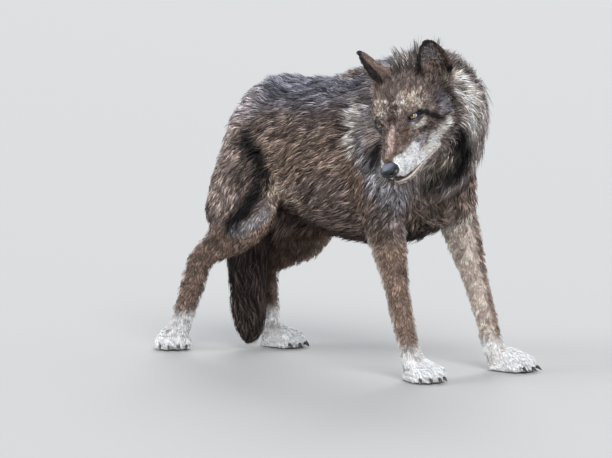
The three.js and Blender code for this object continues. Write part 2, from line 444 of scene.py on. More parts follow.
def lid_distance(places, side):
    """About how far each place is outside the opening between the lids; inside it is negative."""
    local = eye_places(places, side)
    high, low = lid_edge(local[:, 0])
    vertical = np.maximum(local[:, 1] - high, low - local[:, 1])
    sideways = np.abs(local[:, 0]) - LIDS_WIDE
    outside = np.hypot(sideways, np.maximum(vertical, 0))
    return np.where(sideways > 0, outside, np.maximum(vertical, sideways))


base_tree = BVHTree.FromPolygons(inner.tolist(), triangles_of(skin.data).tolist())


def on_skin(path):
    """A path in the head's frame, drawn finely and laid on the skin."""
    path = np.array(path, float)
    steps = np.linspace(0, len(path) - 1, 4 * len(path))
    fine = np.stack([np.interp(steps, range(len(path)), path[:, k]) for k in range(3)], 1)
    return to_head(np.array([base_tree.find_nearest(point)[0] for point in from_head(fine)]))


MOUTH = on_skin(MOUTH_LINE)
LOWER_LIP = on_skin(LOWER_LIP_LINE)
refine(skin, on_face)
refine(skin, near_mouth)
refine(skin, round_eyes(30))
refine(skin, round_eyes(18))


def shape_head(obj):
    """Models brows, cheekbones, lips, whisker pads, lids and the hollows of the ears."""
    mesh = obj.data
    points = points_of(mesh)
    normals = spread(edges_of(mesh), normals_of(mesh), 6) @ HEAD_AXES.T
    places = to_head(points)
    both = mirrored(places)
    lift = np.zeros(len(points))
    for centre, radii, height in FACE_FORMS:
        lift += height * dome(both, centre, radii)
    lift -= 4.2 * stroke(both, MOUTH, 4.5)
    upper_lip = MOUTH + (0, 1, 6)
    lift += 1.8 * stroke(both, upper_lip, 6)
    lift += 2.0 * stroke(both, LOWER_LIP, 6)
    places += normals * (lift * ramp(places[:, 0], -150, -110))[:, None]
    for side in SIDES:
        local = eye_places(places, side)
        wide = np.hypot(local[:, 0] * 0.86, local[:, 1])
        ball = np.sqrt(np.maximum(LID_RADIUS**2 - np.minimum(wide, LID_RADIUS * 0.97) ** 2, 0))
        share = ramp(wide, 28, 12.5) * (local[:, 2] > -12)
        rise = (ball - local[:, 2]) * share
        crease = 1.5 * ramp(np.abs(lid_distance(places, side) - 4.2), 2.2, 0) * ramp(local[:, 1], -2, 3)
        places += eye_axes(side)[2] * (rise - crease)[:, None]
    for ear in EARS.values():
        base, height, up, facing, cross = ear_axes(ear)
        from_base = places - base
        t = from_base @ up / height
        half, deep = ear_profile(t)
        sideways = np.clip(np.abs(from_base @ cross) / (half - 2), 0, 1)
        forward = from_base @ facing
        bow = deep * np.sqrt(1 - sideways**2)
        carve = np.maximum(forward + bow - 5.5, 0)
        window = ramp(sideways, 0.97, 0.74) * ramp(t, -0.22, 0.12) * ramp(t, 0.99, 0.9)
        near = (forward > -deep) & (t > -0.25) & (t < 1.05) & (forward < deep + 12)
        places -= facing * (carve * window * near)[:, None]
    put_points(mesh, from_head(places))


shape_head(skin)


def open_lids(obj):
    """Opens the lids: their edge is drawn clean, and the skin inside it goes in behind the ball."""
    mesh = obj.data
    places = to_head(points_of(mesh))
    for side in SIDES:
        across, up, out = eye_axes(side)
        local = eye_places(places, side)
        near = (np.linalg.norm(local, axis=1) < 24) & (local[:, 2] > -4)
        for _ in range(3):
            away = lid_distance(places, side)
            slope_across = lid_distance(places + 0.1 * across, side) - away
            slope_up = lid_distance(places + 0.1 * up, side) - away
            slope = np.maximum(np.hypot(slope_across, slope_up), 0.03)
            move = np.where(near & (np.abs(away) < 0.42), -away / slope * 0.1, 0)
            step = np.stack((move * slope_across / slope, move * slope_up / slope), 1)
            places += step[:, :1] * across + step[:, 1:] * up
        local = eye_places(places, side)
        away = lid_distance(places, side)
        wide = np.hypot(local[:, 0], local[:, 1])
        ball = np.sqrt(np.maximum(BALL**2 - wide**2, 0)) - 3
        floor = np.maximum(ball, local[:, 2] - 3.2)
        sink = (local[:, 2] - np.minimum(floor, local[:, 2])) * ramp(-away, 0.02, 0.8) * near
        places -= out * sink[:, None]
    put_points(mesh, from_head(places))


open_lids(skin)
skin_points = points_of(skin.data)
skin_links = edges_of(skin.data)
nearest = [first_places.find(point)[1] for point in skin_points]
skin_weights = spread(skin_links, weights[nearest], 3)
skin_normals = normals_of(skin.data)
skin_shown = skin_points + spread(skin_links, (outer - inner)[nearest], 6)


# ---------------------------------------------------------------- colours and markings
def paint(red, green, blue):
    """A colour given from 0 to 255 as it looks, turned to the values light is counted in."""
    values = np.array((red, green, blue)) / 255
    return np.where(values <= 0.04045, values / 12.92, ((values + 0.055) / 1.055) ** 2.4)


BLACK = paint(26, 23, 24)
SOOT = paint(50, 43, 42)
DARK_BROWN = paint(70, 55, 48)
BROWN = paint(104, 84, 73)
GREY_BROWN = paint(122, 107, 100)
TAN = paint(156, 130, 110)
SAND = paint(184, 164, 144)
BLUE_GREY = paint(104, 106, 118)
GREY = paint(136, 130, 131)
PALE_GREY = paint(176, 173, 178)
CREAM = paint(214, 206, 198)
WARM_CREAM = paint(240, 224, 210)
WHITE = paint(250, 248, 246)
PINK_BROWN = paint(192, 168, 158)
OLIVE = paint(132, 120, 102)
REGION_COLOURS = {
    "head": GREY_BROWN, "jaw": GREY_BROWN, "ear": paint(124, 104, 92), "neck": paint(150, 140, 135),
    "trunk": GREY_BROWN, "tail": paint(64, 54, 51), "shoulder": GREY_BROWN, "thigh": GREY_BROWN,
    "foreleg": paint(142, 120, 106), "shank": paint(126, 106, 94), "paw": WHITE,
}
# How strongly the tufts of each region differ in brightness.
REGION_STREAKS = {
    "head": 0.42, "jaw": 0.3, "ear": 0.35, "neck": 0.6, "trunk": 0.6, "tail": 0.75,
    "shoulder": 0.66, "thigh": 0.66, "foreleg": 0.34, "shank": 0.42, "paw": 0.05,
}
# The dark line before the thigh, from the loin to behind the knee: dark fur, with painted shade in the fold
# between flank and thigh.
THIGH_LINE_AND_FOLD_SHADE = (
    (-228, 118, 545), (-182, 122, 485), (-172, 128, 450),
    (-180, 140, 414), (-205, 150, 377), (-250, 152, 330),
)
# Each mark on the trunk and legs: its line through (x, |y|, z), its width, its colour and its strength.
BODY_MARKS = (
    (((-380, 0, 690), (-100, 0, 720), (120, 0, 770)), 120, BLUE_GREY, 0.8),
    (((-300, 80, 660), (-60, 90, 680), (80, 90, 690)), 85, BLUE_GREY, 0.65),
    (((-160, 115, 500), (-20, 128, 520), (60, 130, 540)), 85, TAN, 0.34),
    (((-100, 100, 380), (0, 110, 375), (120, 110, 370)), 60, DARK_BROWN, 0.4),
    # Dark brown belly: dark fur, with painted shade under the trunk.
    (((-200, 20, 340), (0, 20, 310), (180, 20, 300)), 100, paint(50, 36, 30), 0.95),
    (((20, 60, 735), (75, 40, 745)), 42, TAN, 0.8),
    (((-30, 130, 545), (30, 130, 540)), 36, DARK_BROWN, 0.4),
    (((62, 120, 690), (58, 130, 560)), 30, SOOT, 0.6),
    (((100, 118, 680), (104, 130, 600), (112, 135, 540)), 26, CREAM, 0.75),
    (((150, 128, 660), (150, 140, 580), (150, 150, 510)), 30, PALE_GREY, 0.65),
    (((196, 155, 500), (205, 155, 470)), 46, PALE_GREY, 0.85),
    (((200, 150, 545), (202, 150, 520)), 30, BLACK, 0.85),
    (((120, 150, 470), (140, 148, 400)), 70, TAN, 0.35),
    (((230, 130, 420), (250, 120, 360)), 60, GREY, 0.5),
    (((276, 74, 395), (300, 20, 400)), 64, paint(146, 128, 116), 0.85),
    (((250, 20, 330), (215, 20, 300)), 48, BLACK, 0.8),
    (((-270, 90, 640), (-340, 100, 600), (-345, 110, 520)), 80, paint(168, 158, 158), 0.8),
    (((-300, 120, 540), (-300, 130, 450), (-290, 140, 390)), 70, paint(172, 154, 145), 0.75),
    (((-150, 118, 430), (-105, 112, 385)), 50, paint(200, 176, 158), 0.9),
    # The line before the thigh in black: dark fur, with painted shade in the fold.
    (THIGH_LINE_AND_FOLD_SHADE, 40, BLACK, 1.0),
    (((-236, 152, 312), (-176, 142, 352), (-130, 126, 392)), 32, GREY, 0.8),
    (((-200, 150, 336), (-160, 136, 364)), 18, PALE_GREY, 0.6),
    (((-330, 60, 200), (-330, 60, 100)), 45, DARK_BROWN, 0.5),
)
# Each mark on the head, in the head's frame with both sides laid on its left.
HEAD_MARKS = (
    (((-60, 0, 62), (-110, 0, 60)), 60, SOOT, 0.35),
    (((-14, 40, 24), (-26, 58, 26)), 26, SAND, 0.5),
    (((-30, 30, 42), (-34, 48, 40)), 22, SAND, 0.4),
    (((34, 3, 6), (14, 6, 18), (-4, 8, 32)), 12, DARK_BROWN, 0.85),
    (((18, 20, 2), (36, 20, -10)), 10, DARK_BROWN, 0.7),
    (((0, 62, -22), (8, 50, -24), (20, 32, -18)), 13, CREAM, 0.75),
    (((2, 60, 4), (-16, 70, -12), (-27, 79, -38), (-47, 93, -64)), 9, BLACK, 0.95),
    (((10, 50, -44), (-12, 64, -46)), 13, SOOT, 0.55),
    (((34, -4, 0), (70, -4, -10), (118, -3, -27)), 17, PINK_BROWN, 0.85),
    (((40, 26, -10), (66, 28, -22)), 16, BROWN, 0.9),
    (((70, 18, -18), (126, 12, -32)), 9, BROWN, 0.85),
    (((128, 22, -58), (100, 32, -62), (64, 40, -66)), 33, WHITE, 1.0),
    (((34, 36, -52), (8, 44, -62)), 18, PALE_GREY, 0.6),
    (((60, 38, -88), (20, 42, -94)), 22, WHITE, 0.9),
    (((20, 42, -94), (-20, 56, -94)), 24, CREAM, 0.95),
    (((-16, 54, -84), (-26, 64, -78)), 19, WHITE, 0.85),
    (((-26, 70, -84), (-44, 84, -70)), 21, CREAM, 0.95),
    (((-6, 56, -68), (-28, 72, -60), (-44, 84, -50)), 7, SOOT, 0.7),
    (((126, 0, -32), (118, -16, -42), (122, -20, -60)), 12, BROWN, 0.8),
    (((136, 0, -78), (128, 10, -84)), 8, BLACK, 0.9),
    (((-56, 98, -4), (-52, 104, -34)), 24, paint(104, 104, 114), 0.7),
    (((-100, 116, 5), (-97, 118, -45), (-86, 110, -86), (-70, 90, -124)), 33, BLACK, 0.97),
    (((-66, 92, 22), (-60, 96, 0)), 26, SOOT, 0.6),
    (((-46, 72, -134), (-60, 88, -114)), 28, BLACK, 0.8),
    (((122, 0, -99), (100, 14, -105), (60, 27, -112)), 13, CREAM, 0.7),
    (((60, 0, -120), (0, 0, -134)), 40, GREY_BROWN, 0.6),
)
# Marks on the head and the ruff, in the head's frame, for one side of the animal each.
RUFF_MARKS = (
    # Soot round the right eye: dark fur, with painted shade over that side of the face.
    (((-4, -54, 8), (6, -52, -14), (24, -44, -28)), 20, SOOT, 0.85),
    (((-124, 124, -40), (-126, 126, -90), (-108, 108, -140)), 27, WARM_CREAM, 1.0),
    (((-150, 112, 10), (-172, 118, -40), (-168, 118, -100)), 42, WARM_CREAM, 0.85),
    (((-152, 122, -50), (-138, 126, -110)), 38, WARM_CREAM, 0.95),
    (((-128, 120, 0), (-140, 124, -50)), 16, SOOT, 0.6),
    (((-215, 100, 10), (-225, 108, -60)), 44, SOOT, 0.8),
    (((-64, 90, -138), (-68, 76, -165), (-74, 56, -205), (-80, 36, -232)), 42, BLACK, 1.0),
    (((-30, 20, -180), (-50, 0, -195)), 38, OLIVE, 0.7),
    (((-20, -30, -212), (-40, 10, -226), (-66, -56, -222)), 44, BLACK, 0.85),
    (((128, -10, -38), (120, -22, -54), (92, -34, -58)), 15, BROWN, 0.85),
    (((132, 0, -31), (112, 3, -27)), 11, BROWN, 0.9),
    (((-10, -130, -190), (-10, -110, -215)), 40, PALE_GREY, 0.65),
    (((-50, -150, -120), (-60, -154, -128)), 28, BLACK, 0.9),
)
# Marks on the left ear, in the head's frame.
EAR_MARKS = (
    (((-127, 116, 42), (-126, 116, 80)), 15, BROWN, 0.85),
    (((-98, 82, 24), (-106, 90, 34)), 20, BLACK, 0.95),
    (((-110, 112, 8), (-117, 114, 24)), 12, SAND, 0.9),
)


def laid(values, colour, mask, strength):
    """The values with a colour laid over them where the mask is 1, as thickly as its strength."""
    return values + (colour - values) * (mask * strength)[:, None]


def marked(colour, places, marks, core, mask):
    """The colour with every mark of a table laid on it in turn."""
    for path, width, shade, strength in marks:
        colour = laid(colour, shade, stroke(places, path, width, core) * mask, strength)
    return colour


def by_region(values, weights):
    """A table of one value or colour for each region, spread over the skin by the regions' weights."""
    return weights @ np.array([values[name] for name in NAMES])


def markings(points, normals, weights):
    """The coat's colour at each place of the skin, and how strongly its locks differ."""
    colour = by_region(REGION_COLOURS, weights)
    streaks = by_region(REGION_STREAKS, weights)
    share = {name: weights[:, NAMES.index(name)] for name in NAMES}
    head = np.clip(share["head"] + share["jaw"], 0, 1)
    body = 1 - np.clip(head + share["ear"] + share["paw"] + share["tail"], 0, 1)
    places = to_trunk(points)
    folded = places * (1, 0, 1) + np.abs(places) * (0, 1, 0)
    uneven = (mottle(points, 0.030, 3) - 0.5)[:, None] * 26
    patches = mottle(points * (0.6, 1, 1.3), 0.032, 31) + mottle(points, 0.014, 33) * 0.6 - 0.8
    colour = colour * np.exp(patches * 0.75 * body)[:, None]
    colour = marked(colour, folded + uneven, BODY_MARKS, 0.25, body)
    behind = ramp(-normals[:, 0], 0.0, 0.6) * share["foreleg"]
    colour = laid(colour, paint(204, 192, 180), behind * ramp(places[:, 2], 385, 310), 0.9)
    inner_side = ramp(-normals[:, 1] * np.sign(places[:, 1]), 0.2, 0.8)
    colour = laid(colour, CREAM, inner_side * share["foreleg"], 0.5)
    rear_right = normals @ np.array((-0.766, -0.643, 0))
    pale = (places[:, 1] > 0) * ramp(rear_right, -0.95, -0.35)
    colour = laid(colour, paint(212, 194, 182), pale * share["foreleg"], 0.9)
    # Dark brown on the inner side of the hind shanks: painted shade on the shaded inner side of the hind
    # legs.
    colour = laid(colour, DARK_BROWN, inner_side * share["shank"], 0.7)
    colour = laid(colour, WHITE, share["foreleg"] * ramp(places[:, 2], 96, 56), 0.95)
    colour = laid(colour, WHITE, share["shank"] * ramp(places[:, 2], 114, 76), 0.95)
    face = to_head(points)
    folded = mirrored(face)
    near_head = np.clip(head + share["ear"] * 0.2, 0, 1)
    uneven = (mottle(points, 0.012, 5) - 0.5)[:, None] * 7
    colour = marked(colour, folded + uneven, HEAD_MARKS, 0.5, near_head)
    around = np.clip(1 - share["ear"] - share["paw"], 0, 1)
    uneven = (mottle(points, 0.025, 8) - 0.5)[:, None] * 24
    colour = marked(colour, face + uneven, RUFF_MARKS, 0.4, around)
    for side, ear in EARS.items():
        inside, edge = ear_inside(face, ear)
        inside = inside * share["ear"]
        up = np.array(ear["tip"], float) - ear["base"]
        t = (face - ear["base"]) @ up / (up @ up)
        mine = share["ear"] * ((face[:, 1] > 0) == (side == "left"))
        colour = laid(colour, SOOT, ramp(t, 0.3, 0.1) * mine * (side == "left"), 0.8)
        colour = laid(colour, GREY, inside * mine * ramp(t, 0.05, 0.25), 0.8)
        colour = laid(colour, BLACK, edge * share["ear"], 0.95)
    colour = marked(colour, face, EAR_MARKS, 0.4, np.clip(share["ear"] * 1.4, 0, 1))
    fleck = mottle(points, 0.0045, 11)
    brow = stroke(folded, ((-10, 30, 30), (-24, 58, 26)), 38, 0.2) * head
    colour = laid(colour, CREAM, brow * ramp(fleck, 0.5, 0.66), 0.75)
    colour = laid(colour, DARK_BROWN, head * ramp(fleck, 0.5, 0.3) * ramp(face[:, 2], -20, 20), 0.4)
    dots = ramp(mottle(points, 0.005, 17), 0.78, 0.86) * dome(folded, (92, 30, -62), (30, 20, 18))
    colour = laid(colour, SOOT, dots * head, 0.6)
    return np.clip(colour, 0, 1) ** 0.97, streaks


def ear_inside(places, ear):
    """How far each place faces into an ear's hollow, and how near it is to the ear's rim."""
    base, height, up, facing, cross = ear_axes(ear)
    from_base = places - base
    t = from_base @ up / height
    half, deep = ear_profile(t)
    sideways = np.abs(from_base @ cross) / half
    bow = deep * np.sqrt(np.clip(1 - sideways**2, 0, 1))
    inside = ramp(from_base @ facing + bow, 2.5, 4.5) * ramp(sideways, 0.9, 0.75)
    inside *= ramp(t, -0.2, 0.0) * ramp(t, 1.0, 0.9) * (np.abs(from_base @ facing) < deep + 10)
    near = (np.abs(from_base @ facing) < deep + 10) & (t > -0.1) & (t < 1.1)
    edge = np.maximum(ramp(np.abs(sideways - 0.94), 0.18, 0.07), ramp(t, 0.82, 0.95)) * near
    return inside, edge


def skin_colours():
    colour, streaks = markings(skin_shown, skin_normals, skin_weights)
    places = to_head(skin_points)
    moist = np.zeros(len(places))
    rim_colour = paint(22, 18, 19)
    for side in SIDES:
        away = lid_distance(places, side)
        local = eye_places(places, side)
        near = np.linalg.norm(local, axis=1) < 30
        corner = 2.3 + 2.2 * ramp(np.abs(local[:, 0]), 8, 15)
        rim = ramp(away, corner + 1.4, corner) * near
        colour = laid(colour, rim_colour, rim, 1)
        # Pale lavender along the lower lid: painted highlight on the moist lid.
        lower = ramp(np.abs(away - 2.8), 2.4, 1.2) * ramp(-local[:, 1], 1, 3.5) * ramp(-local[:, 0], -7, 0)
        colour = laid(colour, paint(150, 146, 172), lower * near, 0.8)
        canthus = ramp(away, 0.2, -0.6) * ramp(-local[:, 0], 9, 12) * near
        colour = laid(colour, paint(92, 60, 58), canthus, 0.8)
        moist = np.maximum(moist, rim)
    lips = stroke(mirrored(places), MOUTH, 5.0, 0.5)
    colour = laid(colour, paint(24, 19, 20), lips, 0.97)
    lower_lip = stroke(mirrored(places), LOWER_LIP, 4.2, 0.5)
    colour = laid(colour, paint(206, 190, 180), lower_lip, 0.95)
    moist = np.maximum(moist, lips)
    return colour, streaks, moist


def new_material(name, roughness, level):
    material = bpy.data.materials.new(name)
    material.use_nodes = True
    shader = material.node_tree.nodes["Principled BSDF"]
    shader.inputs["Roughness"].default_value = roughness
    shader.inputs["Specular IOR Level"].default_value = level
    return material, material.node_tree, shader


def add_node(tree, kind, values, feeds, **settings):
    """A shader node with its settings, constants on its sockets, and other nodes' outputs led into it."""
    node = tree.nodes.new(kind)
    for setting, value in settings.items():
        setattr(node, setting, value)
    for socket, value in values.items():
        node.inputs[socket].default_value = value
    for socket, output in feeds.items():
        tree.links.new(output, node.inputs[socket])
    return node


def coloured(name, roughness, level, grain, amount, bump=0.0):
    """A finish that takes its colour from the piece's own coat_colour, with a fine uneven grain."""
    material, tree, shader = new_material(name, roughness, level)
    own = add_node(tree, "ShaderNodeAttribute", {}, {}, attribute_name="coat_colour")
    place = tree.nodes.new("ShaderNodeTexCoord").outputs["Object"]
    noise = add_node(tree, "ShaderNodeTexNoise", {"Scale": grain, "Detail": 3}, {"Vector": place})
    limits = {"From Min": 0.3, "From Max": 0.7, "To Min": 1 - amount, "To Max": 1 + amount}
    span = add_node(tree, "ShaderNodeMapRange", limits, {"Value": noise.outputs["Fac"]})
    feeds = {"A": own.outputs["Color"], "B": span.outputs["Result"]}
    mix = add_node(tree, "ShaderNodeMix", {"Factor": 1}, feeds, data_type="RGBA", blend_type="MULTIPLY")
    tree.links.new(mix.outputs["Result"], shader.inputs["Base Color"])
    if bump:
        values = {"Strength": bump, "Distance": MM}
        relief = add_node(tree, "ShaderNodeBump", values, {"Height": noise.outputs["Fac"]})
        tree.links.new(relief.outputs["Normal"], shader.inputs["Normal"])
    return material, tree, shader


def lay_colours(mesh, name, colours):
    layer = mesh.color_attributes.new(name, "FLOAT_COLOR", "POINT")
    flat = np.ones((len(colours), 4), np.float32)
    flat[:, :3] = colours
    layer.data.foreach_set("color", flat.ravel())


colours, streaks, moist = skin_colours()
bright = ramp(colours.mean(axis=1), 0.3, 0.6)
lay_colours(skin.data, "coat_colour", colours * (0.7 + 0.3 * np.clip(bright, 0, 1))[:, None])
wet = skin.data.attributes.new("moist", "FLOAT", "POINT")
wet.data.foreach_set("value", moist.astype(np.float32))
skin_paint, skin_nodes, skin_shader = coloured("short_fur_and_skin", 0.7, 0.3, 900, 0.25, 0.5)
damp = add_node(skin_nodes, "ShaderNodeAttribute", {}, {}, attribute_name="moist")
dry_to_damp = {"To Min": 0.75, "To Max": 0.32}
sleek = add_node(skin_nodes, "ShaderNodeMapRange", dry_to_damp, {"Value": damp.outputs["Fac"]})
skin_nodes.links.new(sleek.outputs["Result"], skin_shader.inputs["Roughness"])
skin.data.materials.append(skin_paint)
only(skin)
bpy.ops.object.shade_smooth()
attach(skin, "root")
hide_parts(*FLESH)

# ---------------------------------------------------------------- eyes and nose
IRIS_RADIUS = 6.9
NOSE_RADII = (20, 22, 16.5)
NOSE_CENTRE = (129, 0, -50)
GAZES = {"left": (0.85, 0.16, 0.48), "right": (0.86, -0.22, 0.44)}
# The left white is the eye's own colour; the right white is darkened as painted shade over the right eye.
EYE_WHITES_WITH_PAINTED_SHADE = {"left": paint(176, 166, 184), "right": paint(96, 86, 92)}


def new_ball(name, segments, rings, radius):
    bpy.ops.object.select_all(action="DESELECT")
    bpy.ops.mesh.primitive_uv_sphere_add(segments=segments, ring_count=rings, radius=radius)
    ball = bpy.context.object
    ball.name = ball.data.name = name
    return ball


def make_eye(side):
    """A glossy ball with a dark pupil, a pale amber iris ringed in black, and a brownish white, darkened in
    the right eye as painted shade.
    """
    eye = new_ball(f"{side}_eye", 56, 60, BALL * MM)
    gaze = unit(np.array(GAZES[side]) @ HEAD_AXES)
    turn = np.array(Vector(gaze).to_track_quat("Z", "Y").to_matrix())
    local = points_of(eye.data)
    from_axis = np.hypot(local[:, 0], local[:, 1]) / MM
    front = local[:, 2] > 0
    cornea = 0.9 * ramp(from_axis, 8.5, 3.5) * front
    local *= (1 + cornea / BALL)[:, None]
    around = np.arctan2(local[:, 1], local[:, 0])
    fibres = 0.5 + 0.5 * np.sin(around * 23 + 3 * np.sin(around * 7)) * ramp(from_axis, 2, 6)
    iris = paint(158, 144, 90) * (0.75 + 0.4 * fibres[:, None])
    iris = laid(iris, paint(146, 104, 42), ramp(from_axis, 4.4, 3.0), 0.8)
    colour = laid(iris, paint(24, 18, 12), ramp(np.abs(from_axis - IRIS_RADIUS), 1.2, 0.3), 0.95)
    white = np.where(front, ramp(from_axis, 7.3, 8.0), 1)
    colour = laid(colour, EYE_WHITES_WITH_PAINTED_SHADE[side], white, 1)
    colour = laid(colour, paint(8, 7, 8), ramp(from_axis, 3.3, 2.7) * front, 1)
    put_points(eye.data, local @ turn.T + from_head(EYE_CENTRES[side]))
    lay_colours(eye.data, "coat_colour", colour)
    bpy.ops.object.shade_smooth()
    material, _, shader = coloured(f"{side}_eye_gloss", 0.12, 0.5, 1500, 0.08)
    shader.inputs["Coat Weight"].default_value = 1
    shader.inputs["Coat Roughness"].default_value = 0.03
    eye.data.materials.append(material)
    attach(eye, "root")
    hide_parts(f"eye_{side}")


def make_nose():
    """The bare nose: a rounded pad with comma-shaped nostrils, a groove between them and a pebbled skin."""
    nose = new_ball("nose_pad", 112, 84, 1)
    ball = points_of(nose.data)
    shape = np.abs(ball) ** 0.86 * np.sign(ball)
    places = shape * NOSE_RADII + NOSE_CENTRE
    forward = ball[:, 0]
    places[:, 0] += 2.5 * ball[:, 2] * ramp(forward, -0.2, 0.8)
    places[:, 1] *= 1 - 0.22 * ramp(-ball[:, 2], 0.1, 1) - 0.12 * ramp(ball[:, 2], 0.3, 1)
    both = mirrored(places)
    dent = 9 * stroke(both, ((152, 8.5, -51), (147, 12, -53), (142, 17, -50), (136, 21, -47)), 6.2)
    hollow = 6 * dome(both, (150, 8.0, -52), (9, 5.5, 5.2))
    groove = 1.6 * ramp(np.abs(places[:, 1]), 1.9, 0) * ramp(forward, 0.3, 0.8)
    groove *= ramp(places[:, 2], -40, -50)
    wing = 1.4 * stroke(both, ((150, 9, -44), (142, 17, -42)), 5)
    places -= ball * (dent * 0.55 + hollow + groove - wing)[:, None]
    put_points(nose.data, from_head(places + (8, -2, -2)))
    # Darker in the nostrils and the groove between them: painted shade in these hollows.
    dark = np.clip((dent + hollow) / 9 + groove / 3, 0, 1)
    colour = np.tile(paint(17, 17, 19), (len(places), 1))
    # Bluish, paler top of the nose: painted highlight on the moist pad.
    colour = laid(colour, paint(112, 118, 138), ramp(ball[:, 2], 0.5, 0.95), 0.65)
    colour = laid(colour, paint(9, 8, 9), dark, 0.95)
    lay_colours(nose.data, "coat_colour", colour)
    bpy.ops.object.shade_smooth()
    material, tree, shader = coloured("moist_nose", 0.38, 0.5, 700, 0.12)
    place = tree.nodes.new("ShaderNodeTexCoord").outputs["Object"]
    pebbles = add_node(tree, "ShaderNodeTexVoronoi", {"Scale": 620}, {"Vector": place}, feature="SMOOTH_F1")
    relief = add_node(tree, "ShaderNodeBump", {"Strength": 0.5, "Distance": 0.6 * MM},
                      {"Height": pebbles.outputs["Distance"]}, invert=True)
    tree.links.new(relief.outputs["Normal"], shader.inputs["Normal"])
    nose.data.materials.append(material)
    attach(nose, "root")
    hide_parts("nose")


def make_claw_horn():
    """Dark horn with paler, worn streaks, for the solids' own claws."""
    horn, tree, shader = new_material("claw_horn", 0.35, 0.5)
    place = tree.nodes.new("ShaderNodeTexCoord").outputs["Object"]
    ridges = add_node(tree, "ShaderNodeTexNoise", {"Scale": 260}, {"Vector": place})
    worn = add_node(tree, "ShaderNodeValToRGB", {}, {"Fac": ridges.outputs["Fac"]})
    worn.color_ramp.elements[0].color = (0.012, 0.010, 0.010, 1)
    worn.color_ramp.elements[1].color = (0.10, 0.085, 0.075, 1)
    tree.links.new(worn.outputs["Color"], shader.inputs["Base Color"])
    for node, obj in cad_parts.items():
        if "claw" in node:
            for slot in obj.material_slots:
                slot.material = horn


for side in SIDES:
    make_eye(side)
make_nose()
make_claw_horn()

# ---------------------------------------------------------------- the coat
TUFT_SEGMENTS = 2
TUFTS_IN_CLUMP = 11
TUFT_SWELL = ((0, 0.3, 1), (0.75, 1.0, 0.5))  # steps along a tuft, and its share of the full width at each
RIDGE = 0.34
ROOT_DEPTH = 1.2 * MM
LENGTHS = (0.6, 1.3)  # shortest and longest tuft, as shares of its region's length; the next ones are alike
WIDTHS = (0.65, 1.3)
HEIGHTS = (0.3, 1.2)
CLUMP_HEIGHTS = (0.75, 1.12)
TUFT_VEER = 0.14
CLUMP_VEER = 0.16
MAP_PATCH = 0.003
OVER_FLOOR = 3 * MM
DARKEST, PALEST = 0.004, 0.92
FACE_END = -40
HAM = np.array((-300, 95, 295))
HAM_RADII = (75, 65, 75)
# The tufts' length and width, in millimetres.
HAIR_LENGTH = {
    "head": 12, "jaw": 10, "ear": 12, "neck": 58, "trunk": 46, "tail": 70,
    "shoulder": 38, "thigh": 40, "foreleg": 16, "shank": 17, "paw": 17,
}
HAIR_WIDTH = {
    "head": 1.4, "jaw": 1.3, "ear": 1.6, "neck": 3.0, "trunk": 3.1, "tail": 3.6,
    "shoulder": 2.8, "thigh": 2.9, "foreleg": 1.8, "shank": 1.9, "paw": 2.1,
}

# The way the hair points on the legs.
LEG_HAIR = {
    "shoulder": (-0.35, 0, -0.92), "thigh": (-0.45, 0, -0.88),
    "foreleg": (-0.12, 0, -1), "shank": (-0.25, 0, -1),
}


def lie_of_coat(points, normals, weights):
    """The way the hair lies at each place of the skin."""
    share = {name: weights[:, NAMES.index(name)][:, None] for name in NAMES}
    places = to_trunk(points)
    face = to_head(points)
    side = np.sign(places[:, 1])[:, None]
    low = ramp(places[:, 2], 560, 380)[:, None]
    upright = np.abs(normals[:, 2:3])
    flank = np.array((-0.80, 0, -0.55)) * (1 - upright) + np.array((-1, 0, 0)) * upright
    flank = flank + np.array((0.1, 0, -0.15)) * low
    chest = ramp(places[:, 0], 190, 290)[:, None]
    flank = flank * (1 - chest) + np.array((-0.1, 0, -1)) * chest
    turned = ramp(-places[:, 1], -10, 70)[:, None]
    neck = np.array((-0.3, 0.95, 0)) * turned + np.array((-1, 0.1, -0.1)) * (1 - turned)
    neck = neck + np.array((0, 0, -0.8)) * (1 - upright)
    throat = ramp(face[:, 2], -80, -170)[:, None]
    neck = neck * (1 - throat) + np.array((-0.35, 0, -0.9)) * throat
    fingers = np.where(places[:, 0:1] > 0, (0.9, 0.05, -0.5), (0.7, -0.5, -0.5))
    head_side = np.sign(face[:, 1])[:, None]
    cheek = np.array((-0.8, 0, -0.5)) + head_side * (0, 0.45, 0)
    top = ramp(face[:, 2], -30, 30)[:, None]
    muzzle = ramp(face[:, 0], 10, 50)[:, None]
    head = cheek * (1 - top) + np.array((-0.9, 0, 0.3)) * top
    head = head * (1 - muzzle) + np.array((-1, 0, -0.12)) * muzzle
    lips = stroke(mirrored(face), MOUTH, 24, 0.3)[:, None]
    head = head * (1 - lips) + lips * (np.array((-0.91, 0, -0.2)) + head_side * (0, 0.35, 0))
    head = head @ HEAD_AXES
    ears = np.zeros_like(points)
    for name, ear in EARS.items():
        up = unit(np.array(ear["tip"], float) - ear["base"])
        inside, _ = ear_inside(face, ear)
        mine = (face[:, 1:2] > 0) == (SIDES[name] > 0)
        outwards = unit(np.cross(up, unit(np.array(ear["facing"], float))))
        sideways = np.sign((face - ear["base"]) @ outwards)[:, None] * outwards
        ears += mine * ((up + sideways * 0.25 * inside[:, None]) @ HEAD_AXES)
    lie = share["head"] * head + share["jaw"] * head + share["ear"] * ears
    lie = lie + share["neck"] * neck + share["trunk"] * flank + share["tail"] * np.array((0.0, 0, -1))
    for name, way in LEG_HAIR.items():
        lie = lie + share[name] * np.array(way)
    lie = lie + share["paw"] * fingers
    lie = unit(lie)
    wander = np.stack([mottle(points, 0.045, seed) for seed in (21, 22, 23)], 1) - 0.5
    fine = np.stack([mottle(points, 0.016, seed) for seed in (24, 25, 26)], 1) - 0.5
    loose = 1 - np.clip(share["head"] + share["jaw"] + share["ear"] + share["paw"], 0, 1) * 0.75
    lie = lie + (wander * 0.9 + fine * 0.5) * loose
    lie = lie - normals * np.sum(lie * normals, axis=1, keepdims=True)
    return unit(lie)


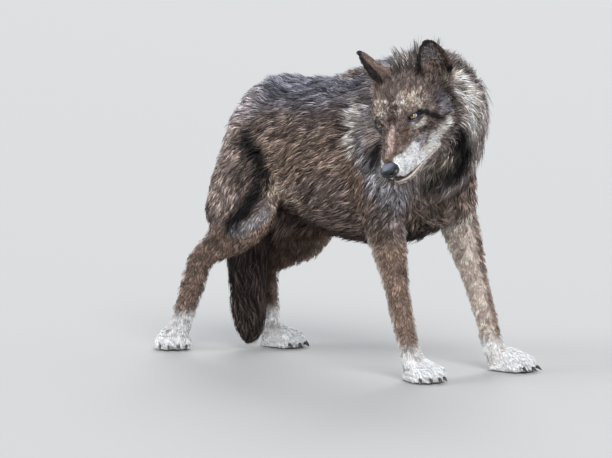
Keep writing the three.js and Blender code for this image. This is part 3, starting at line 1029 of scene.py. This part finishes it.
coat_way = lie_of_coat(skin_points, skin_normals, skin_weights)
coat_way = spread(skin_links, coat_way, 4)
coat_way = unit(coat_way - skin_normals * np.sum(coat_way * skin_normals, axis=1, keepdims=True))
skin_triangles = triangles_of(skin.data)
skin_tree = BVHTree.FromPolygons(skin_points.tolist(), skin_triangles.tolist())
reach = np.array([outer_tree.find_nearest(point)[3] for point in skin_points])
reach = np.clip(spread(skin_links, reach, 3)[:, 0], 1.5 * MM, 60 * MM)
face_places = to_head(skin_points)
head_part = np.clip(skin_weights[:, NAMES.index("head")] + skin_weights[:, NAMES.index("jaw")], 0, 1)
long_at = by_region(HAIR_LENGTH, skin_weights)
wide_at = by_region(HAIR_WIDTH, skin_weights)
growth = head_part * ramp(face_places[:, 0], -5, -95)
long_at = long_at + 40 * growth
wide_at = wide_at + 1.2 * growth
long_at = long_at * (1 - 0.4 * head_part * ramp(face_places[:, 0], 30, 80))
brow_part = head_part * ramp(face_places[:, 0], -60, -20) * ramp(face_places[:, 2], -10, 10)
long_at = long_at * (1 - 0.45 * brow_part)
long_at = long_at * (1 - 0.4 * stroke(mirrored(face_places), MOUTH, 26, 0.4))
bare = np.maximum.reduce([
    stroke(mirrored(face_places), MOUTH, 5.6, 0.8) > 0.5,
    stroke(mirrored(face_places), LOWER_LIP, 4.2, 0.8) > 0.5,
    dome(face_places, (140, -1, -52), (25, 24, 19)) > 0.02,
    skin_points[:, 2] < 6 * MM,
    *(ramp(lid_distance(face_places, side), 3.2, 2.2)
      * (np.linalg.norm(face_places - EYE_CENTRES[side], axis=1) < 26) for side in SIDES),
])
region_at = skin_weights.argmax(axis=1)


def growing_faces(regions, keep):
    """Which of the skin's faces lie in these regions, and within keep."""
    mine = np.isin(region_at[skin_triangles[:, 0]], [NAMES.index(region) for region in regions])
    if keep is not None:
        mine &= keep(skin_points[skin_triangles].mean(axis=1))
    return np.flatnonzero(mine)


def draw_roots(faces_at, count):
    """Each root's face and its shares of that face's corners: denser in short hair, none on bare skin."""
    tri = skin_triangles[faces_at]
    corners = skin_points[tri]
    one_side, other_side = corners[:, 1] - corners[:, 0], corners[:, 2] - corners[:, 0]
    area = np.linalg.norm(np.cross(one_side, other_side), axis=1) / 2
    density = area / (wide_at[tri].mean(axis=1) * long_at[tri].mean(axis=1)) * (bare[tri].max(axis=1) < 0.5)
    total = np.cumsum(density)
    draw = (np.arange(count) + dice.random(count)) / count * total[-1]
    pick = np.minimum(np.searchsorted(total, draw), len(tri) - 1)
    a, b = dice.random((2, count))
    over = a + b > 1
    a[over], b[over] = 1 - a[over], 1 - b[over]
    return pick, np.stack((1 - a - b, a, b), 1)


def draw_clumps(roots):
    """Picks one tuft in eleven or so as a leader: gives each tuft's clump, and each clump's leader."""
    clump_count = max(len(roots) // TUFTS_IN_CLUMP, 1)
    leaders = dice.choice(len(roots), clump_count, replace=False)
    leader_tree = KDTree(clump_count)
    for i, k in enumerate(leaders):
        leader_tree.insert(roots[k], i)
    leader_tree.balance()
    return np.array([leader_tree.find(root)[1] for root in roots]), leaders


def lay_along_skin(roots, root_at, length, height, veer, segments, stiff):
    """Each tuft's path, its sideways and outward ways, and the skin's vertex under it, at every step."""
    count = len(roots)
    at = root_at.copy()
    place = roots.copy()
    path, sides, ups = np.empty((3, count, segments + 1, 3))
    path[:, 0] = roots - skin_normals[at] * ROOT_DEPTH
    spots = np.empty((count, segments + 1), int)
    spots[:, 0] = at
    for k in range(segments + 1):
        way = coat_way[at] + veer[:, None] * np.cross(skin_normals[at], coat_way[at])
        sides[:, k] = unit(np.cross(skin_normals[at], way))
        ups[:, k] = skin_normals[at]
        if k == segments:
            break
        place = place + unit(way) * (length / segments)[:, None]
        for i in range(count):
            place[i], _, index, _ = skin_tree.find_nearest(place[i])
            at[i] = skin_triangles[index, 0]
        spots[:, k + 1] = at
        t = (k + 1) / segments
        rise = height * (1 - (1 - t) ** 1.7) * (1 - stiff) + height * t * stiff
        path[:, k + 1] = place + skin_normals[at] * rise[:, None]
    return path, sides, ups, spots


def shade_tufts(spots, clump, clump_count, root_shade, tips_black):
    """Each tuft's colour at every step: the skin's own, dim at the root, and different from lock to lock."""
    count, steps = len(spots), np.linspace(0, 1, spots.shape[1])
    vary = dice.normal(0, 1, clump_count)[clump] * 0.8 + dice.normal(0, 1, count) * 0.6
    streak = streaks[spots[:, 0]]
    tone = np.exp(streak * np.clip(vary, -2.2, 1.3))
    pale_tips = ramp(colours[spots[:, -1]].mean(axis=1), 0.25, 0.7)
    tips = np.exp(-0.9 * streak * (1 - 0.85 * pale_tips) * dice.uniform(0, 1.4, count))
    shade = np.empty((count, len(steps), 3))
    for k, t in enumerate(steps):
        dim = root_shade + (1.12 - root_shade) * min(t * 2, 1)
        band = (1 + (tips - 1) * ramp(t, 0.55, 1.0)) * (1 - tips_black * t)
        shade[:, k] = colours[spots[:, k]] * (dim * tone * band)[:, None]
    return np.clip(shade, DARKEST, PALEST)


def tuft_triangles(segments):
    """The corners of one tuft's triangles: a base, three sides in bands, and a point."""
    tris = [(0, 1, 2)]
    for first in range(0, 3 * segments - 3, 3):
        for u in range(3):
            v = (u + 1) % 3
            tris += [(first + u, first + 3 + v, first + v), (first + u, first + 3 + u, first + 3 + v)]
    last = 3 * segments - 3
    tris += [(last + u, last + 3, last + (u + 1) % 3) for u in range(3)]
    return np.array(tris)


def tuft_mesh(name, path, sides, ups, width, shade):
    """One mesh of all the tufts, each a three-sided ridge round its path that ends in a point."""
    count, segments = len(path), path.shape[1] - 1
    swell = np.interp(np.arange(segments) / segments, *TUFT_SWELL)
    rings = np.empty((count, segments, 3, 3))
    for k in range(segments):
        half = (width * swell[k] / 2)[:, None] * sides[:, k]
        rings[:, k, 0] = path[:, k] - half
        rings[:, k, 1] = path[:, k] + half
        rings[:, k, 2] = path[:, k] + ups[:, k] * (width * swell[k] * RIDGE)[:, None]
    vertices = np.concatenate((rings.reshape(count, -1, 3), path[:, -1:]), axis=1)
    starts = np.arange(count)[:, None, None] * vertices.shape[1]
    faces = (starts + tuft_triangles(segments)[None]).reshape(-1, 3)
    mesh = bpy.data.meshes.new(name)
    mesh.vertices.add(vertices.shape[0] * vertices.shape[1])
    mesh.vertices.foreach_set("co", vertices.astype(np.float32).ravel())
    mesh.loops.add(len(faces) * 3)
    mesh.loops.foreach_set("vertex_index", faces.astype(np.int32).ravel())
    mesh.polygons.add(len(faces))
    mesh.polygons.foreach_set("loop_start", np.arange(0, len(faces) * 3, 3, dtype=np.int32))
    mesh.update(calc_edges=True)
    mesh.polygons.foreach_set("use_smooth", np.ones(len(faces), bool))
    point_shades = np.concatenate((np.repeat(shade[:, :segments], 3, axis=1), shade[:, -1:]), axis=1)
    lay_colours(mesh, "coat_colour", point_shades.reshape(-1, 3))
    return mesh, faces


def map_tufts(mesh, faces, segments, root_places):
    """Gives the tufts their OFBake map: a small patch for each, round its root on the unwrapped skin."""
    across = np.append(np.tile((-1.0, 1.0, 0.0), segments), 0.0)
    along = np.append(np.repeat(np.arange(segments) / segments, 3), 1.0)
    patch = np.stack((across * MAP_PATCH / 2, (along - 0.5) * MAP_PATCH), 1)
    places = (root_places[:, None] + patch[None]).reshape(-1, 2)
    layer = mesh.uv_layers.new(name="OFBake")
    layer.data.foreach_set("uv", np.clip(places, 0, 1)[faces.ravel()].astype(np.float32).ravel())


def coat_piece(name, regions, count, keep=None, lift=1.0, pull=0.55, stretch=1.0,
               tips_black=0.0, stiff=0.0, root_shade=0.72):
    """One piece of the coat: count tufts rooted on the skin of these regions, each laid along the skin."""
    faces_at = growing_faces(regions, keep)
    pick, shares = draw_roots(faces_at, count)
    tri = skin_triangles[faces_at[pick]]
    roots = np.einsum("nk,nkd->nd", shares, skin_points[tri])
    at = tri[:, 0]
    length = long_at[at] * MM * dice.uniform(*LENGTHS, count) * stretch
    width = wide_at[at] * MM * dice.uniform(*WIDTHS, count)
    height = (reach[at] + 1.5 * MM) * lift * dice.uniform(*HEIGHTS, count)
    clump, leaders = draw_clumps(roots)
    height *= dice.uniform(*CLUMP_HEIGHTS, len(leaders))[clump]
    veer = dice.normal(0, TUFT_VEER, count) + dice.normal(0, CLUMP_VEER, len(leaders))[clump]
    path, sides, ups, spots = lay_along_skin(roots, at, length, height, veer, TUFT_SEGMENTS, stiff)
    steps = np.arange(TUFT_SEGMENTS + 1) / TUFT_SEGMENTS
    gather = pull * steps**1.4 * dice.uniform(0.6, 1.2, (count, 1))
    path += (path[leaders[clump]] - path) * gather[:, :, None]
    path[:, :, 2] = np.maximum(path[:, :, 2], OVER_FLOOR)
    shade = shade_tufts(spots, clump, len(leaders), root_shade, tips_black)
    mesh, faces = tuft_mesh(name, path, sides, ups, width, shade)
    map_tufts(mesh, faces, TUFT_SEGMENTS, unwrap(faces_at, pick, shares))
    mesh.materials.append(coat_paint)
    piece = bpy.data.objects.new(name, mesh)
    bpy.context.scene.collection.objects.link(piece)
    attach(piece, "root")


def unwrap(faces_at, pick, shares):
    """Where each root falls on an unwrap of the skin faces its piece grows from."""
    used, index = np.unique(skin_triangles[faces_at], return_inverse=True)
    patch = new_piece("patch", skin_points[used], index.reshape(-1, 3).tolist())
    only(patch)
    bpy.ops.object.mode_set(mode="EDIT")
    bpy.ops.mesh.select_all(action="SELECT")
    bpy.ops.uv.smart_project(angle_limit=math.radians(70), island_margin=0.004)
    bpy.ops.object.mode_set(mode="OBJECT")
    corners = read(patch.data.uv_layers[0].data, "uv", 2).reshape(-1, 3, 2)[pick]
    bpy.data.objects.remove(patch)
    return np.einsum("nk,nkd->nd", shares, corners)


def on_left(points):
    return to_trunk(points)[:, 1] > 0


def on_right(points):
    return to_trunk(points)[:, 1] <= 0


def on_front_of_head(points):
    return to_head(points)[:, 0] > FACE_END


def on_crown(points):
    return to_head(points)[:, 0] <= FACE_END


def behind_left_thigh(points):
    return np.linalg.norm((to_trunk(points) - HAM) / HAM_RADII, axis=1) < 1


def between_ears(points):
    places = to_head(points)
    return (places[:, 0] < -105) & (places[:, 2] > 5) & (np.abs(places[:, 1]) < 135)


coat_paint = coloured("wolf_coat", 0.72, 0.16, 500, 0.14)[0]
coat_piece("coat_face", ("head", "jaw"), 19000, keep=on_front_of_head)
coat_piece("coat_crown", ("head", "jaw"), 12000, keep=on_crown)
coat_piece("coat_ears", ("ear",), 5000)
for half, keep in (("left", on_left), ("right", on_right)):
    coat_piece(f"coat_neck_{half}", ("neck",), 13000, keep=keep, pull=0.45)
    coat_piece(f"coat_trunk_{half}", ("trunk",), 17000, keep=keep, lift=1.1)
    coat_piece(f"coat_shoulder_{half}", ("shoulder",), 5500, keep=keep)
    coat_piece(f"coat_thigh_{half}", ("thigh",), 7500, keep=keep, lift=1.1)
coat_piece("coat_forelegs", ("foreleg",), 8500, lift=1.2)
coat_piece("coat_shanks", ("shank",), 8500, lift=1.3)
coat_piece("coat_paws", ("paw",), 6500, lift=1.2, root_shade=1.1)
coat_piece("coat_tail", ("tail",), 5500, lift=1.8, pull=0.35, stretch=1.15)
coat_piece("coat_hams", ("thigh", "shank", "trunk"), 1300, keep=behind_left_thigh,
           lift=2.6, pull=0.6, stretch=1.5)
coat_piece("coat_hackles", ("neck", "head", "trunk"), 900, keep=between_ears,
           lift=2.0, pull=0.75, stretch=0.4, tips_black=0.85, stiff=1.0)

# ---------------------------------------------------------------- camera, floor and light
CAMERA_PLACE = (5.72927, -6.85988, 1.323)
CAMERA_DIP = 6.3231
CAMERA_TURN = 40
CAMERA_LENS = 217.647


def studio():
    """A pale floor, a soft sky, three suns and the camera."""
    bpy.ops.object.select_all(action="DESELECT")
    bpy.ops.mesh.primitive_plane_add(size=40)
    floor = bpy.context.object
    floor.name = "floor"
    material, _, shader = new_material("pale_floor", 0.9, 0.5)
    shader.inputs["Base Color"].default_value = (0.37, 0.365, 0.355, 1)
    floor.data.materials.append(material)
    world = bpy.data.worlds.new("studio")
    world.use_nodes = True
    sky = world.node_tree.nodes["Background"].inputs
    sky["Color"].default_value = (0.80, 0.86, 0.95, 1)
    sky["Strength"].default_value = 0.9
    scene = bpy.context.scene
    scene.world = world
    for name, place, power in (
        ("key", (2.6, -2.0, 3.2), 2.5),
        ("fill", (-2.6, -2.6, 2.4), 1.2),
        ("rim", (-1.6, 2.6, 2.8), 1.6),
    ):
        light = bpy.data.objects.new(name, bpy.data.lights.new(name, "SUN"))
        light.data.angle = math.radians(32)
        light.data.energy = power
        light.location = place
        light.rotation_euler = (Vector((0, 0, 0.4)) - Vector(place)).to_track_quat("-Z", "Y").to_euler()
        scene.collection.objects.link(light)
    camera = bpy.data.objects.new("camera", bpy.data.cameras.new("camera"))
    camera.location = CAMERA_PLACE
    camera.rotation_euler = (math.radians(90 - CAMERA_DIP), 0, math.radians(CAMERA_TURN))
    camera.data.lens = CAMERA_LENS
    camera.data.sensor_width = 36
    scene.collection.objects.link(camera)
    scene.camera = camera
    scene.view_settings.view_transform = "Standard"


studio()
